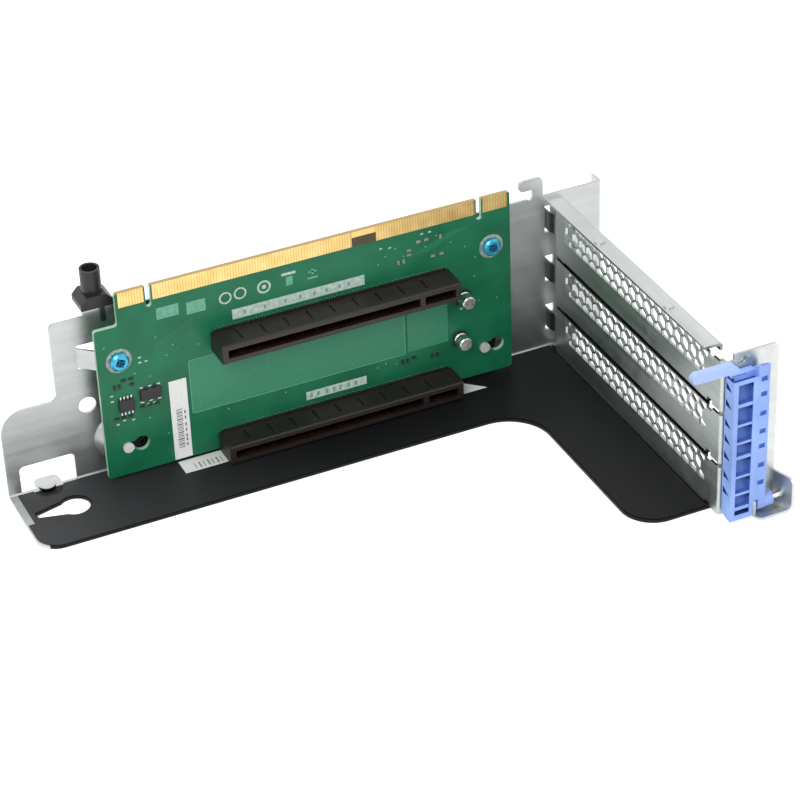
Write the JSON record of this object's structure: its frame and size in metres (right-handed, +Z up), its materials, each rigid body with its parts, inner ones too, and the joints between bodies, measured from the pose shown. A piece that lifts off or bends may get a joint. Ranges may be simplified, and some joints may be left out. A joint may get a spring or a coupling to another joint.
{
  "type": "pcie riser card",
  "caption": "Riser card on a folded steel carrier with stacked expansion sockets, mesh slot covers and a hinged retention latch.",
  "frame": {"origin": "on the underside of the carrier's floor, below the lower left corner of the card's component face", "axes": "+X along the card towards the slot covers, +Y away from the card's component side, +Z up towards the gold edge contacts"},
  "size_m": [0.2312, 0.1377, 0.0789],
  "materials": {
    "zinc_steel": "bright zinc-plated sheet, satin",
    "film_black": "black insulating film, satin",
    "label_paper": "white paper label",
    "solder_mask": "green solder mask on glass-epoxy",
    "gold_plating": "gold-plated contacts",
    "socket_plastic": "dark brown-black moulded nylon",
    "screw_blue": "blue anodised screw",
    "can_metal": "plain aluminium can",
    "chip_black": "black epoxy",
    "tin_lead": "tinned terminals",
    "ceramic": "ceramic chip body",
    "resistor_black": "thick-film chip body",
    "latch_blue": "blue moulded plastic",
    "post_black": "black moulded plastic",
    "pin_steel": "ground steel pin"
  },
  "bodies": {
    "riser": {"main_bracket": "zinc_steel", "slot_frame": "zinc_steel", "frame_rivets": "pin_steel", "slot_cover_lower": "zinc_steel", "slot_cover_middle": "zinc_steel", "slot_cover_upper": "zinc_steel", "insulator_film": "film_black", "strip_label": "label_paper", "serial_label": "label_paper", "riser_board": "solder_mask", "edge_contacts_front": "gold_plating", "edge_contacts_back": "gold_plating", "board_screw_left": "screw_blue", "board_screw_right": "screw_blue", "hook_stud_left": "pin_steel", "hook_stud_right": "pin_steel", "connector_housing_upper": "socket_plastic", "connector_housing_lower": "socket_plastic", "connector_contacts_upper": "gold_plating", "connector_contacts_lower": "gold_plating", "capacitor_can_upper": "can_metal", "capacitor_can_lower": "can_metal", "capacitor_foot_upper": "chip_black", "capacitor_foot_lower": "chip_black", "driver_chip": "chip_black", "driver_leads": "tin_lead", "clock_chip": "chip_black", "clock_chip_pads": "tin_lead", "chip_resistors": "resistor_black", "chip_capacitors": "ceramic", "latch_pin": "pin_steel", "guide_post": "post_black"},
    "latch": {"retention_latch": "latch_blue"}
  },
  "joints": [
    {"name": "latch_hinge", "type": "hinge", "parent": "riser", "child": "latch", "pos_m": [0.184, -0.1156, 0.0046], "axis": [1, 0, 0], "range_deg": [0, 80]}
  ]
}
